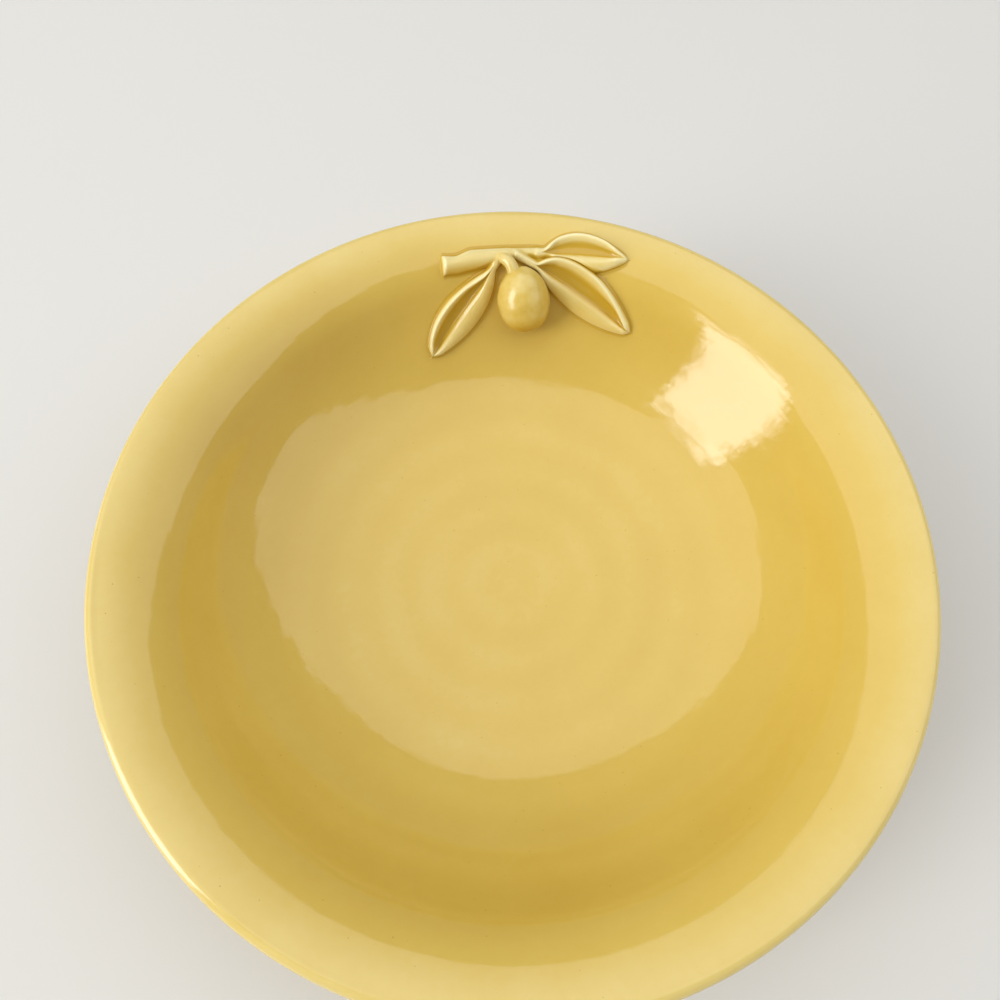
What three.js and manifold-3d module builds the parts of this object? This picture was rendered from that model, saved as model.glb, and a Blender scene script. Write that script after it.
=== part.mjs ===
// Serving bowl: a wheel-thrown earthenware bowl on a foot ring, with an olive sprig in relief inside
// its rim. Millimetres, +Z up. The origin is on the bowl's axis, in the plane that the foot stands on,
// and the sprig is on the +Y side. Each piece is a separate body of clay, and a thin seam of slip joins
// it to its neighbours.
//
// The sprig is laid out flat, as it is before it is pressed on. "across" runs round the bowl towards +X,
// "down" runs from the top of the rim along the inner wall to the floor, and "lift" stands off the wall.
// A heading of 0 degrees points across and one of 90 degrees points down.

import * as THREE from "three";
import { mergeVertices } from "three/addons/utils/BufferGeometryUtils.js";
import Module from "manifold-3d";

const { degToRad, lerp, smoothstep } = THREE.MathUtils;

// Bowl body
const RIM_DIAMETER = 300;
const INSIDE_DEPTH = 59;
const WALL_THICKNESS = 7;
const FLOOR_CURVE_RADIUS = 520;
const WALL_CURVE_RADIUS = 74;
const WALL_STRAIGHT = 8;
const RIM_CURVE_RADIUS = 33;
const RIM_SLOPE = degToRad(8);
const RIM_FLAT = 2;

// Foot ring
const FOOT_DIAMETER = 150;
const FOOT_WIDTH = 9;
const FOOT_EDGE_RADIUS = 1.5;
const FOOT_RECESS = 6;

// Seam of slip between two pieces of clay
const SLIP_SEAM = 0.3;

// Twig, from its flared cut end to where the upper right leaf grows out of it
const TWIG_ACROSS = -30.4;
const TWIG_DOWN = 20.4;
const TWIG_HEADING = degToRad(-4.5);
const TWIG_LENGTH = 41;
const TWIG_BOW = 1;
const TWIG_WIDTH = 8.6;
const TWIG_END_WIDTH = 5.2;
const TWIG_HEIGHT = 5.2;
const TWIG_EDGE_HEIGHT = 0.8;
const TWIG_FLARE_HEIGHT = 0.3;
const TWIG_FLARE_LENGTH = 7;

// Leaves: the place on the twig where each one grows (0 is the cut end, 1 the other end) and its own
// direction and size. The belly is the place along the blade where it is widest.
const LEAF_LEFT = {
  onTwig: 0.61,
  heading: degToRad(128.5),
  length: 49.6,
  width: 18.5,
  stalkLength: 4,
  belly: 0.55,
};
const LEAF_LOWER_RIGHT = {
  onTwig: 0.78,
  heading: degToRad(23.85),
  length: 56.6,
  width: 20.8,
  stalkLength: 9,
  belly: 0.47,
};
const LEAF_UPPER_RIGHT = {
  onTwig: 1,
  heading: degToRad(-6.2),
  length: 39.2,
  width: 15.6,
  stalkLength: 1,
  belly: 0.47,
};
const LEAF_STALK_WIDTH = 4.2;
const LEAF_RIM_HEIGHT = 3.7;
const LEAF_VEIN_HEIGHT = 0.7;
const LEAF_EDGE_HEIGHT = 0.7;
const LEAF_TIP_WIDTH = 3;

// Form of a leaf: the place of its raised rim across each half, and how full its outline and its hollow are
const LEAF_RIM_PLACE = 0.8;
const LEAF_OUTLINE_FULLNESS = 0.8;
const LEAF_HOLLOW_FULLNESS = 1.4;

// Olive and its stalk. The olive's place is measured from where the stalk leaves the twig.
const OLIVE_DIAMETER = 22.6;
const OLIVE_LENGTH = 28;
const OLIVE_ACROSS = 10;
const OLIVE_DOWN = 16.2;
const OLIVE_LIFT = 6;
const OLIVE_LEAN = degToRad(10);
const STALK_ON_TWIG = 0.62;
const STALK_DIAMETER = 5;
const STALK_LIFT = 2.4;
const STALK_BEND_ACROSS = 4.7;
const STALK_BEND_DOWN = 0.1;
const STALK_BEND_LIFT = 8.8;
const STALK_END_ASIDE = 2.6;

// Fineness of the round forms
const TURN_STEPS = 72;
const FLOOR_STEPS = 3;
const WALL_STEPS = 9;
const RIM_STEPS = 6;
const LIP_STEPS = 6;
const FOOT_TOP_STEPS = 3;
const FOOT_EDGE_STEPS = 2;
const LEAF_STEPS = 18;
const LEAF_HOLLOW_STEPS = 3;
const LEAF_FLANK_STEPS = 2;
const TWIG_STEPS = 12;
const TWIG_SIDE_STEPS = 8;
const OLIVE_TURN_STEPS = 24;
const OLIVE_RISE_STEPS = 14;
const STALK_STEPS = 6;
const STALK_SIDES = 10;
const MERGE_DISTANCE = 1e-4;

// Bowl section. Its inner line is the lip's round, a short flat and three arcs that run into each other:
// rim, wall and floor, with a short straight stretch where the wall goes over into the rim. The centres
// of the three arcs make a chain of two bars, which has one shape for a given depth and diameter.
const LIP_RADIUS = WALL_THICKNESS / 2;
const RIM_TOP = FOOT_RECESS + WALL_THICKNESS + INSIDE_DEPTH;
const lipCentre = new THREE.Vector2(RIM_DIAMETER / 2 - LIP_RADIUS, RIM_TOP - LIP_RADIUS);

// A unit vector square to a line of this slope, pointing up and into the bowl.
function facing(slope) {
  return new THREE.Vector2(-Math.sin(slope), Math.cos(slope));
}

// A unit vector of this heading.
function towards(heading) {
  return new THREE.Vector2(Math.cos(heading), Math.sin(heading));
}

const flatStart = lipCentre.clone().addScaledVector(facing(RIM_SLOPE), LIP_RADIUS);
const flatEnd = flatStart.clone().addScaledVector(towards(RIM_SLOPE), -RIM_FLAT);
const rimCentre = flatEnd.clone().addScaledVector(facing(RIM_SLOPE), -RIM_CURVE_RADIUS);
const floorCentre = new THREE.Vector2(0, FOOT_RECESS + WALL_THICKNESS + FLOOR_CURVE_RADIUS);

const floorBar = FLOOR_CURVE_RADIUS - WALL_CURVE_RADIUS;
const wallBar = Math.hypot(WALL_CURVE_RADIUS + RIM_CURVE_RADIUS, WALL_STRAIGHT);
const reach = rimCentre.clone().sub(floorCentre);
const barTurn = Math.acos((reach.lengthSq() - floorBar ** 2 - wallBar ** 2) / (2 * floorBar * wallBar));
const FLOOR_SLOPE =
  Math.atan2(reach.x, -reach.y) -
  Math.atan2(wallBar * Math.sin(barTurn), floorBar + wallBar * Math.cos(barTurn));
const WALL_SLOPE = FLOOR_SLOPE + barTurn - Math.atan2(WALL_STRAIGHT, WALL_CURVE_RADIUS + RIM_CURVE_RADIUS);
const wallCentre = floorCentre.clone().addScaledVector(facing(FLOOR_SLOPE), -floorBar);
const wallTop = wallCentre.clone().addScaledVector(facing(WALL_SLOPE), -WALL_CURVE_RADIUS);

// Where the inner line's pieces end, measured down from the top of the rim.
const LIP_DOWN = LIP_RADIUS * RIM_SLOPE;
const FLAT_DOWN = LIP_DOWN + RIM_FLAT;
const RIM_DOWN = FLAT_DOWN + RIM_CURVE_RADIUS * (WALL_SLOPE - RIM_SLOPE);
const STRAIGHT_DOWN = RIM_DOWN + WALL_STRAIGHT;
const WALL_DOWN = STRAIGHT_DOWN + WALL_CURVE_RADIUS * (WALL_SLOPE - FLOOR_SLOPE);

// The inner line's point and slope at a distance down from the top of the rim.
function innerLine(down) {
  if (down < LIP_DOWN) {
    const slope = down / LIP_RADIUS;
    return { slope, point: lipCentre.clone().addScaledVector(facing(slope), LIP_RADIUS) };
  }
  if (down < FLAT_DOWN) {
    const point = flatStart.clone().addScaledVector(towards(RIM_SLOPE), LIP_DOWN - down);
    return { slope: RIM_SLOPE, point };
  }
  if (down < RIM_DOWN) {
    const slope = RIM_SLOPE + (down - FLAT_DOWN) / RIM_CURVE_RADIUS;
    return { slope, point: rimCentre.clone().addScaledVector(facing(slope), RIM_CURVE_RADIUS) };
  }
  if (down < STRAIGHT_DOWN) {
    const point = wallTop.clone().addScaledVector(towards(WALL_SLOPE), STRAIGHT_DOWN - down);
    return { slope: WALL_SLOPE, point };
  }
  if (down < WALL_DOWN) {
    const slope = WALL_SLOPE - (down - STRAIGHT_DOWN) / WALL_CURVE_RADIUS;
    return { slope, point: wallCentre.clone().addScaledVector(facing(slope), -WALL_CURVE_RADIUS) };
  }
  const slope = FLOOR_SLOPE - (down - WALL_DOWN) / FLOOR_CURVE_RADIUS;
  return { slope, point: floorCentre.clone().addScaledVector(facing(slope), -FLOOR_CURVE_RADIUS) };
}

// The line that runs at this lift above the inner line, from the axis to the flat's outer end.
function sectionLine(lift) {
  const arcs = [
    [floorCentre, lift - FLOOR_CURVE_RADIUS, 0, FLOOR_SLOPE, FLOOR_STEPS],
    [wallCentre, lift - WALL_CURVE_RADIUS, FLOOR_SLOPE, WALL_SLOPE, WALL_STEPS],
    [wallCentre, lift - WALL_CURVE_RADIUS, WALL_SLOPE, WALL_SLOPE, 1],
    [rimCentre, lift + RIM_CURVE_RADIUS, WALL_SLOPE, RIM_SLOPE, RIM_STEPS],
  ];
  const points = [];
  for (const [centre, radius, from, to, steps] of arcs) {
    for (let i = 0; i < steps; i++) {
      points.push(centre.clone().addScaledVector(facing(lerp(from, to, i / steps)), radius));
    }
  }
  points[0].x = 0;
  points.push(flatEnd.clone().addScaledVector(facing(RIM_SLOPE), lift));
  points.push(flatStart.clone().addScaledVector(facing(RIM_SLOPE), lift));
  return points;
}

// A section turned about the bowl's axis.
function turned(section) {
  return new THREE.LatheGeometry(section, TURN_STEPS).rotateX(Math.PI / 2);
}

function bowlBody() {
  const inner = sectionLine(0);
  const outer = sectionLine(-WALL_THICKNESS);
  const lip = [];
  for (let i = 1; i < LIP_STEPS; i++) {
    const slope = RIM_SLOPE - (Math.PI * i) / LIP_STEPS;
    lip.push(lipCentre.clone().addScaledVector(facing(slope), LIP_RADIUS));
  }
  return turned([...outer, ...lip.reverse(), ...inner.reverse()]);
}

// Height of the foot ring's top at this radius: the bowl's underside, less the seam of slip.
function footTop(radius) {
  const under = WALL_THICKNESS + SLIP_SEAM;
  const onFloor = radius <= (FLOOR_CURVE_RADIUS + under) * Math.sin(FLOOR_SLOPE);
  const centre = onFloor ? floorCentre : wallCentre;
  const curve = (onFloor ? FLOOR_CURVE_RADIUS : WALL_CURVE_RADIUS) + under;
  return centre.y - Math.sqrt(curve ** 2 - (radius - centre.x) ** 2);
}

// A ring with rounded lower edges, flat below and hollowed above to fit the bowl's underside.
function footRing() {
  const outside = FOOT_DIAMETER / 2;
  const inside = outside - FOOT_WIDTH;
  const section = [];
  const roundEdge = (middle, from) => {
    for (let i = 0; i <= FOOT_EDGE_STEPS; i++) {
      const turn = from + ((Math.PI / 2) * i) / FOOT_EDGE_STEPS;
      const spot = new THREE.Vector2(middle, FOOT_EDGE_RADIUS);
      section.push(spot.addScaledVector(towards(turn), FOOT_EDGE_RADIUS));
    }
  };
  roundEdge(inside + FOOT_EDGE_RADIUS, Math.PI);
  roundEdge(outside - FOOT_EDGE_RADIUS, 1.5 * Math.PI);
  for (let i = 0; i <= FOOT_TOP_STEPS; i++) {
    const radius = lerp(outside, inside, i / FOOT_TOP_STEPS);
    section.push(new THREE.Vector2(radius, footTop(radius)));
  }
  section.push(section[0].clone());
  return turned(section);
}

// Joining and cutting of closed bodies
const wasm = await Module();
wasm.setup();

function solidOf(geometry) {
  const bare = new THREE.BufferGeometry();
  bare.setAttribute("position", geometry.getAttribute("position"));
  bare.setIndex(geometry.getIndex());
  const merged = mergeVertices(bare, MERGE_DISTANCE);
  const mesh = new wasm.Mesh({
    numProp: 3,
    vertProperties: merged.getAttribute("position").array,
    triVerts: new Uint32Array(merged.getIndex().array),
  });
  return new wasm.Manifold(mesh);
}

function geometryOf(solid) {
  const mesh = solid.getMesh();
  const geometry = new THREE.BufferGeometry();
  geometry.setAttribute("position", new THREE.BufferAttribute(mesh.vertProperties, 3));
  geometry.setIndex(new THREE.BufferAttribute(mesh.triVerts, 1));
  geometry.computeVertexNormals();
  return geometry;
}

// A piece pressed into by its neighbours: what they take up is cut away, and crumbs that a cut leaves
// are dropped.
function pressedInto(piece, neighbours) {
  let left = piece;
  for (const neighbour of neighbours) left = left.subtract(neighbour);
  return left.decompose().reduce((a, b) => (a.volume() > b.volume() ? a : b));
}

// The place of a point of the flat layout on the bowl's inner wall.
function onWall(across, down, lift) {
  const { point, slope } = innerLine(down);
  const turn = across / point.x;
  const place = point.clone().addScaledVector(facing(slope), lift);
  return new THREE.Vector3(place.x * Math.sin(turn), place.x * Math.cos(turn), place.y);
}

// A closed relief along a flat path. "along" goes from 0 to 1 down the path and "side" from -1 to 1
// across it. With grow it is that much larger all round, so that it can cut its own seat, seam included,
// into a neighbour.
function relief({ path, steps, sides, halfWidth, height }, grow = 0) {
  const top = [];
  const base = [];
  for (let i = 0; i <= steps; i++) {
    const along = i / steps;
    const middle = path.getPoint(along);
    const heading = path.getTangent(along);
    if (i === 0) middle.addScaledVector(heading, -grow);
    if (i === steps) middle.addScaledVector(heading, grow);
    for (const side of sides) {
      const offset = side * (halfWidth(along) + grow);
      const across = middle.x - heading.y * offset;
      const down = middle.y + heading.x * offset;
      top.push(onWall(across, down, SLIP_SEAM + height(along, side) + grow));
      base.push(onWall(across, down, SLIP_SEAM - grow));
    }
  }
  return closedSheets(top, base, sides.length);
}

// Two grids of points, one above the other, closed round their edges.
function closedSheets(top, base, columns) {
  const rows = top.length / columns;
  const index = [];
  const quad = (a, b, c, d) => index.push(a, b, c, a, c, d);
  const at = (row, column) => row * columns + column;
  const under = (row, column) => top.length + at(row, column);
  for (let i = 0; i + 1 < rows; i++) {
    for (let j = 0; j + 1 < columns; j++) {
      quad(at(i, j), at(i, j + 1), at(i + 1, j + 1), at(i + 1, j));
      quad(under(i, j), under(i + 1, j), under(i + 1, j + 1), under(i, j + 1));
    }
    quad(at(i, 0), at(i + 1, 0), under(i + 1, 0), under(i, 0));
    quad(at(i + 1, columns - 1), at(i, columns - 1), under(i, columns - 1), under(i + 1, columns - 1));
  }
  for (let j = 0; j + 1 < columns; j++) {
    quad(at(0, j + 1), at(0, j), under(0, j), under(0, j + 1));
    quad(at(rows - 1, j), at(rows - 1, j + 1), under(rows - 1, j + 1), under(rows - 1, j));
  }
  const geometry = new THREE.BufferGeometry().setFromPoints([...top, ...base]);
  geometry.setIndex(index);
  return geometry;
}

// The twig's line in the flat layout, bowed a little towards the floor.
const twigStart = new THREE.Vector2(TWIG_ACROSS, TWIG_DOWN);
const twigEnd = twigStart.clone().addScaledVector(towards(TWIG_HEADING), TWIG_LENGTH);
const twigMiddle = twigStart.clone().lerp(twigEnd, 0.5).addScaledVector(facing(TWIG_HEADING), TWIG_BOW);
const twigLine = new THREE.QuadraticBezierCurve(twigStart, twigMiddle, twigEnd);

// The twig: a half-round branch that flares at its cut end.
function twig() {
  const flare = (along) => {
    const left = Math.max(0, 1 - (along * TWIG_LENGTH) / TWIG_FLARE_LENGTH);
    return TWIG_FLARE_HEIGHT * left ** 2;
  };
  const halfWidth = (along) => lerp(TWIG_WIDTH, TWIG_END_WIDTH, along) / 2 + flare(along);
  const height = (along, side) => {
    const round = Math.sqrt(Math.max(0, 1 - side ** 2));
    return lerp(TWIG_EDGE_HEIGHT, TWIG_HEIGHT + flare(along), round);
  };
  const sides = [];
  for (let i = 0; i <= TWIG_SIDE_STEPS; i++) sides.push(-Math.cos((Math.PI * i) / TWIG_SIDE_STEPS));
  return { path: twigLine, steps: TWIG_STEPS, sides, halfWidth, height };
}

// Places across a leaf, from one edge to the other, with its raised rims among them.
function leafSides() {
  const half = [];
  for (let i = 1; i <= LEAF_HOLLOW_STEPS; i++) half.push((LEAF_RIM_PLACE * i) / LEAF_HOLLOW_STEPS);
  for (let i = 1; i <= LEAF_FLANK_STEPS; i++) half.push(lerp(LEAF_RIM_PLACE, 1, i / LEAF_FLANK_STEPS));
  return [...half.map((side) => -side).reverse(), 0, ...half];
}

// A leaf: a lance-shaped blade on a short stalk. It has a raised rim and falls to a vein in the middle.
function leaf({ onTwig, heading, length, width, stalkLength, belly }) {
  const start = twigLine.getPoint(onTwig);
  const tip = start.clone().addScaledVector(towards(heading), length);
  const slant = Math.log(0.5) / Math.log(belly);
  const blade = (along) => {
    const share = Math.max(0, (along * length - stalkLength) / (length - stalkLength));
    return Math.sin(Math.PI * share ** slant) ** LEAF_OUTLINE_FULLNESS;
  };
  const halfWidth = (along) => {
    const narrowest = lerp(LEAF_STALK_WIDTH, LEAF_TIP_WIDTH, along) / 2;
    return Math.max(narrowest, (width / 2) * blade(along));
  };
  const height = (along, side) => {
    const out = Math.abs(side);
    const vein = lerp(LEAF_RIM_HEIGHT, LEAF_VEIN_HEIGHT, smoothstep(blade(along), 0, LEAF_RIM_PLACE));
    const hollow = (out / LEAF_RIM_PLACE) ** LEAF_HOLLOW_FULLNESS;
    if (out <= LEAF_RIM_PLACE) return lerp(vein, LEAF_RIM_HEIGHT, hollow);
    const flank = (out - LEAF_RIM_PLACE) / (1 - LEAF_RIM_PLACE);
    return lerp(LEAF_RIM_HEIGHT, LEAF_EDGE_HEIGHT, flank ** 2);
  };
  const path = new THREE.LineCurve(start, tip);
  return { path, steps: LEAF_STEPS, sides: leafSides(), halfWidth, height };
}

// The olive hangs from its stalk's place on the twig and lies down the wall, its middle a little off
// the surface.
const stalkRoot = twigLine.getPoint(STALK_ON_TWIG);
const oliveSpot = new THREE.Vector2(OLIVE_ACROSS, OLIVE_DOWN).add(stalkRoot);
const oliveMiddle = onWall(oliveSpot.x, oliveSpot.y, OLIVE_LIFT);

// A shape made upright on +Y, set on the wall as the olive lies there.
function asOliveLies(shape) {
  const { point, slope } = innerLine(oliveSpot.y);
  return shape.applyMatrix4(
    new THREE.Matrix4()
      .makeTranslation(oliveMiddle)
      .multiply(new THREE.Matrix4().makeRotationZ(-oliveSpot.x / point.x))
      .multiply(new THREE.Matrix4().makeRotationX(slope))
      .multiply(new THREE.Matrix4().makeRotationZ(OLIVE_LEAN)),
  );
}

function olive(grow = 0) {
  const radius = OLIVE_DIAMETER / 2 + grow;
  const ball = new THREE.SphereGeometry(1, OLIVE_TURN_STEPS, OLIVE_RISE_STEPS);
  return asOliveLies(ball.scale(radius, OLIVE_LENGTH / 2 + grow, radius));
}

// The olive's stalk: a round peg that leaves the twig and bends over into the olive, a little aside of
// its crown.
function oliveStalk(grow = 0) {
  const start = onWall(stalkRoot.x, stalkRoot.y, STALK_LIFT);
  const bend = onWall(stalkRoot.x + STALK_BEND_ACROSS, stalkRoot.y + STALK_BEND_DOWN, STALK_BEND_LIFT);
  const end = asOliveLies(new THREE.Vector3(-STALK_END_ASIDE, OLIVE_LENGTH / 2 - STALK_DIAMETER, 0));
  const section = new THREE.Shape();
  section.absarc(0, 0, STALK_DIAMETER / 2 + grow, 0, 2 * Math.PI);
  return new THREE.ExtrudeGeometry(section, {
    steps: STALK_STEPS,
    curveSegments: STALK_SIDES,
    extrudePath: new THREE.QuadraticBezierCurve3(start, bend, end),
    bevelEnabled: false,
  });
}

// Everything behind the inner wall, seam included.
function behindWall() {
  const line = sectionLine(SLIP_SEAM);
  line.push(new THREE.Vector2(RIM_DIAMETER, RIM_TOP));
  line.push(new THREE.Vector2(RIM_DIAMETER, -RIM_TOP));
  line.push(new THREE.Vector2(0, -RIM_TOP));
  return solidOf(turned(line.reverse()));
}

const leftLeaf = leaf(LEAF_LEFT);
const lowerRightLeaf = leaf(LEAF_LOWER_RIGHT);
const upperRightLeaf = leaf(LEAF_UPPER_RIGHT);
const wall = behindWall();
const oliveSeat = solidOf(olive(SLIP_SEAM));
const stalkSeat = solidOf(oliveStalk(SLIP_SEAM));
const leftSeat = solidOf(relief(leftLeaf, SLIP_SEAM));
const lowerRightSeat = solidOf(relief(lowerRightLeaf, SLIP_SEAM));
const upperRightSeat = solidOf(relief(upperRightLeaf, SLIP_SEAM));

// The pieces are pressed on in turn, the twig first and the olive last, and each one dents those before
// it.
const fruitSeats = [oliveSeat, stalkSeat];
const lowerSeats = [...fruitSeats, leftSeat, lowerRightSeat];
const sprig = {
  olive: pressedInto(solidOf(olive()), [wall]),
  olive_stalk: pressedInto(solidOf(oliveStalk()), [wall, oliveSeat]),
  leaf_left: pressedInto(solidOf(relief(leftLeaf)), fruitSeats),
  leaf_lower_right: pressedInto(solidOf(relief(lowerRightLeaf)), [...fruitSeats, leftSeat]),
  leaf_upper_right: pressedInto(solidOf(relief(upperRightLeaf)), lowerSeats),
  twig: pressedInto(solidOf(relief(twig())), [...lowerSeats, upperRightSeat]),
};

// One honey-yellow glaze covers the whole bowl. It is paler where it breaks over the relief, and the
// foot is wiped.
const GLAZE = { color: 0xdcbc64, roughness: 0.12, metalness: 0 };
const GLAZE_OVER_RELIEF = { color: 0xe8d08a, roughness: 0.14, metalness: 0 };
const FOOT_GLAZE = { color: 0xd0ae5a, roughness: 0.35, metalness: 0 };

function piece(name, geometry, finish) {
  const mesh = new THREE.Mesh(geometry, new THREE.MeshStandardMaterial(finish));
  mesh.name = name;
  return mesh;
}

const bowl = new THREE.Group();
bowl.name = "serving_bowl";
bowl.add(piece("bowl_body", bowlBody(), GLAZE));
bowl.add(piece("foot_ring", footRing(), FOOT_GLAZE));
for (const [name, solid] of Object.entries(sprig)) {
  bowl.add(piece(name, geometryOf(solid), GLAZE_OVER_RELIEF));
}

export default bowl;
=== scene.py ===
# %% [markdown]
# # A serving bowl with an olive sprig
#
# The real bowl is earthenware: a body thrown on a potter's wheel, a turned foot ring, and a sprig
# of olive that was modelled by hand and pressed onto the inner wall with slip. One honey-yellow
# glaze covers all of it. In this lesson each of these pieces becomes its own Blender object. All of
# them are built in metres, in the frame of the CAD model, so a piece that is made in the right
# place never has to be moved.

# %% Load the frame
import math
from dataclasses import dataclass

import bmesh
import bpy
import numpy as np
from mathutils import Matrix, Vector, noise


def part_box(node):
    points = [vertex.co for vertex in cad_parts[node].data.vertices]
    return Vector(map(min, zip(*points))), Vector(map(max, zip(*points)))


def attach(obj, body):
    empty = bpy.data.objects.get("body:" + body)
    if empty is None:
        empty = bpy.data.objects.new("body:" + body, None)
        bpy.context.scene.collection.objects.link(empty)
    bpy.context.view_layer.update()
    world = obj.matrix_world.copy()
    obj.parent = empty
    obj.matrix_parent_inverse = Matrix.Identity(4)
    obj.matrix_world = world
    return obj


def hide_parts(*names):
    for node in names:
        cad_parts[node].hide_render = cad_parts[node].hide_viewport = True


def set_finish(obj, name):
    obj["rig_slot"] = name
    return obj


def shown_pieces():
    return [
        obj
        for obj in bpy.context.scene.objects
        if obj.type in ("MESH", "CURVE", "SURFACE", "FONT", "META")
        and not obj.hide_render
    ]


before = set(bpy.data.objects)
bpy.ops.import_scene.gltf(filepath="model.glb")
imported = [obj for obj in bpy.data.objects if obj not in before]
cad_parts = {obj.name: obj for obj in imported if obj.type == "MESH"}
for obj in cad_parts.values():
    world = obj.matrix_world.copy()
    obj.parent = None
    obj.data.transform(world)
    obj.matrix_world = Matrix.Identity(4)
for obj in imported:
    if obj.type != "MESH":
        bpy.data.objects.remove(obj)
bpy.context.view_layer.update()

MM = 0.001
print("CAD nodes:", sorted(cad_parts))

# %% [markdown]
# ## The bowl's section
#
# A thrown bowl is round, so one line from its middle to its lip says everything about its form.
# This one has a wide, nearly flat floor, a wall that sweeps up from it, and a rim that rolls over
# until it is almost level. Each of the three is an arc. They run into each other without a corner,
# with a short straight stretch between the wall and the rim. A drawn spline would do as well, but
# arcs have real radii, and the same centres give the outside of the wall: its radii only differ by
# the wall's thickness.

# %% Sizes of the section
WALL = 7 * MM
INSIDE_DEPTH = 59 * MM
FLOOR_CURVE = 520 * MM
WALL_CURVE = 74 * MM
WALL_STRAIGHT = 8 * MM
RIM_CURVE = 33 * MM
RIM_FLAT = 2 * MM
RIM_SLOPE = math.radians(8)
FOOT_RECESS = 6 * MM

rim_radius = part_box("bowl_body")[1].x
lip_radius = WALL / 2
floor_top = FOOT_RECESS + WALL
rim_top = floor_top + INSIDE_DEPTH
print(f"rim {2 * rim_radius / MM:.1f} mm across, {rim_top / MM:.1f} mm high")


# %% Find where the three arcs meet
def facing(slope):
    """Unit vectors square to a line of this slope, pointing up and into the bowl."""
    return np.stack([-np.sin(slope), np.cos(slope)], axis=-1)


def uphill(slope):
    """Unit vectors up a line of this slope, away from the axis."""
    return np.stack([np.cos(slope), np.sin(slope)], axis=-1)


lip_centre = np.array([rim_radius - lip_radius, rim_top - lip_radius])
flat_outer = lip_centre + lip_radius * facing(RIM_SLOPE)
flat_inner = flat_outer - RIM_FLAT * uphill(RIM_SLOPE)
rim_centre = flat_inner - RIM_CURVE * facing(RIM_SLOPE)
floor_centre = np.array([0, floor_top + FLOOR_CURVE])

# The centres make a chain of two bars, so the law of cosines gives the slopes where the arcs meet.
floor_bar = FLOOR_CURVE - WALL_CURVE
wall_bar = math.hypot(WALL_CURVE + RIM_CURVE, WALL_STRAIGHT)
reach = rim_centre - floor_centre
bend = math.acos((reach @ reach - floor_bar**2 - wall_bar**2) / (2 * floor_bar * wall_bar))
chain = math.atan2(wall_bar * math.sin(bend), floor_bar + wall_bar * math.cos(bend))
floor_slope = math.atan2(reach[0], -reach[1]) - chain
wall_slope = floor_slope + bend - math.atan2(WALL_STRAIGHT, WALL_CURVE + RIM_CURVE)
wall_centre = floor_centre - floor_bar * facing(floor_slope)
wall_top = wall_centre - WALL_CURVE * facing(wall_slope)
print(f"the floor ends at a slope of {math.degrees(floor_slope):.1f} degrees")
print(f"the wall is {math.degrees(wall_slope):.1f} degrees steep at most")

# %% Trace the inner line from the axis to the lip
FLOOR_STEPS = 72
WALL_STEPS = 110
STRAIGHT_STEPS = 12
RIM_STEPS = 44


def arc(centre, radius, start, end, steps):
    """Points and slopes of an arc. A negative radius makes a hollow one."""
    slopes = np.linspace(start, end, steps, endpoint=False)
    return centre + radius * facing(slopes), slopes


def straight(start, slope, length, steps):
    """Points and slopes of a straight stretch."""
    runs = np.linspace(0, length, steps, endpoint=False)
    return start + runs[:, None] * uphill(slope), np.full(steps, slope)


stretches = [
    arc(floor_centre, -FLOOR_CURVE, 0, floor_slope, FLOOR_STEPS),
    arc(wall_centre, -WALL_CURVE, floor_slope, wall_slope, WALL_STEPS),
    straight(wall_top, wall_slope, WALL_STRAIGHT, STRAIGHT_STEPS),
    arc(rim_centre, RIM_CURVE, wall_slope, RIM_SLOPE, RIM_STEPS),
    (np.array([flat_inner, flat_outer]), np.full(2, RIM_SLOPE)),
]
inner_line = np.vstack([points for points, _ in stretches])
inner_slope = np.concatenate([slopes for _, slopes in stretches])

inner_gaps = np.hypot(*np.diff(inner_line, axis=0).T)
inner_down = lip_radius * RIM_SLOPE + np.append(np.cumsum(inner_gaps[::-1])[::-1], 0)
print(f"{len(inner_line)} points, {inner_down[0] / MM:.0f} mm from the rim's top to the axis")

# %% [markdown]
# ## One way to skin every piece
#
# Turned pieces, leaves, the twig and the olive all come from rings of points: the rings are joined
# by quads, and points that fall together are merged, which closes a ring on the axis or at a
# feather edge. Each point also carries a number that says how thick the glaze is there; on the
# sprig and the olive the same number also carries painted shade. It is stored in the mesh as an
# attribute, so the materials can read it, and it moves with the shape if the shape is changed.

# %% Skin rings of points
MERGE = 1e-7
# The depth also carries painted shade on the sprig and the olive.
GLAZE_AND_SHADE_ATTRIBUTE = "glaze_and_shade_depth"


def skin(name, rings, glaze_and_shade_depth, loop=False):
    """A smooth object through rings of points, which are an array of shape (rings, points, 3).

    With loop, the last ring joins the first one.
    """
    count, around, _ = rings.shape
    index = np.arange(count * around).reshape(count, around)
    if loop:
        index = np.vstack([index, index[:1]])
    here, there = index[:-1], index[1:]
    quads = np.stack([here, np.roll(here, -1, 1), np.roll(there, -1, 1), there], axis=-1)
    mesh = bpy.data.meshes.new(name)
    mesh.from_pydata(rings.reshape(-1, 3).tolist(), [], quads.reshape(-1, 4).tolist())
    depth = mesh.attributes.new(GLAZE_AND_SHADE_ATTRIBUTE, "FLOAT", "POINT")
    depth.data.foreach_set("value", np.asarray(glaze_and_shade_depth, np.float32).ravel())
    edit = bmesh.new()
    edit.from_mesh(mesh)
    bmesh.ops.remove_doubles(edit, verts=edit.verts, dist=MERGE)
    bmesh.ops.recalc_face_normals(edit, faces=edit.faces)
    edit.to_mesh(mesh)
    edit.free()
    mesh.shade_smooth()
    piece = bpy.data.objects.new(name, mesh)
    bpy.context.scene.collection.objects.link(piece)
    print(f"{name}: {len(mesh.polygons)} faces")
    return piece


def install(piece, node, slot):
    """Let a piece ride with the bowl, stand for its CAD node and take the finish of its slot."""
    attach(piece, "root")
    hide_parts(node)
    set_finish(piece, slot)


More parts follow.
